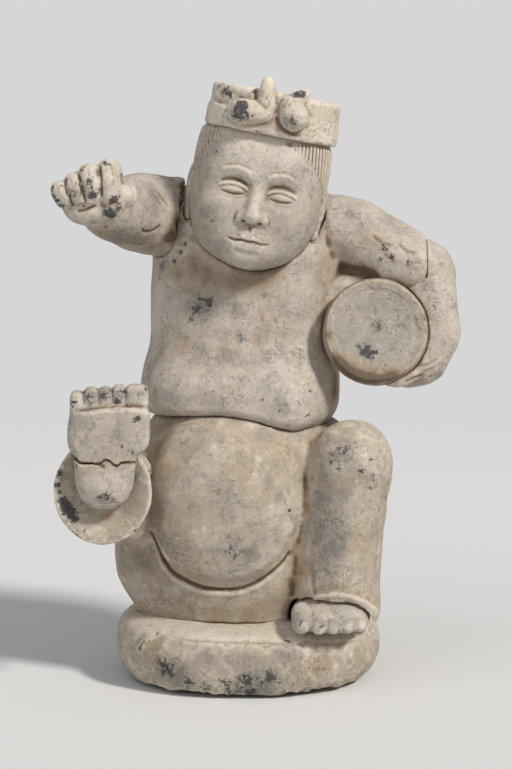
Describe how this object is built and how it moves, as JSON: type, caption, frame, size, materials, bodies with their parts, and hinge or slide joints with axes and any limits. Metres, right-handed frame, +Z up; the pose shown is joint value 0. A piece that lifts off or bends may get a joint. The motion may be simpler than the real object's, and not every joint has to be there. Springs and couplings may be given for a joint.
{
  "type": "stone entertainer statue",
  "caption": "Seated stone figure of a stout drummer on a round plinth, one fist raised, a small drum under the other arm and one bare foot lifted from a flared trouser cuff.",
  "frame": {"origin": "centre of the plinth's underside, on the floor", "axes": "+Z up; -Y the way that the figure faces; +X to the viewer's right as seen from the front, the side of the drum"},
  "size_m": [0.374, 0.2429, 0.5683],
  "materials": {
    "stone_base": "matt, weathered, pale buff with dark grey stains",
    "stone_cloth": "matt, weathered, pale buff with ochre dust in the hollows",
    "stone_skin": "matt, weathered, pale cream with grey flakes and fine cracks",
    "stone_cap": "matt, weathered, pale buff with dark stains",
    "stone_drum": "matt, weathered, greyer buff",
    "dowel_steel": "plain bar, hidden in the stone"
  },
  "bodies": {
    "root": {"plinth": "stone_base", "lower_body": "stone_cloth", "torso": "stone_skin", "head": "stone_skin", "cloth_cap": "stone_cap", "knot_bean": "stone_cap", "knot_bulb": "stone_cap", "raised_arm": "stone_skin", "drum_forearm": "stone_skin", "drum": "stone_drum", "raised_leg": "stone_cloth", "raised_heel": "stone_skin", "raised_forefoot": "stone_skin", "standing_foot": "stone_skin", "waist_dowel_left": "dowel_steel", "waist_dowel_right": "dowel_steel", "neck_dowel": "dowel_steel", "cap_dowel": "dowel_steel", "bean_dowel": "dowel_steel", "bulb_dowel": "dowel_steel", "shoulder_dowel": "dowel_steel", "elbow_dowel": "dowel_steel", "drum_dowel": "dowel_steel", "leg_dowel": "dowel_steel", "ankle_dowel": "dowel_steel", "sole_dowel": "dowel_steel", "plinth_dowel_left": "dowel_steel", "plinth_dowel_right": "dowel_steel", "foot_dowel": "dowel_steel"}
  },
  "joints": []
}
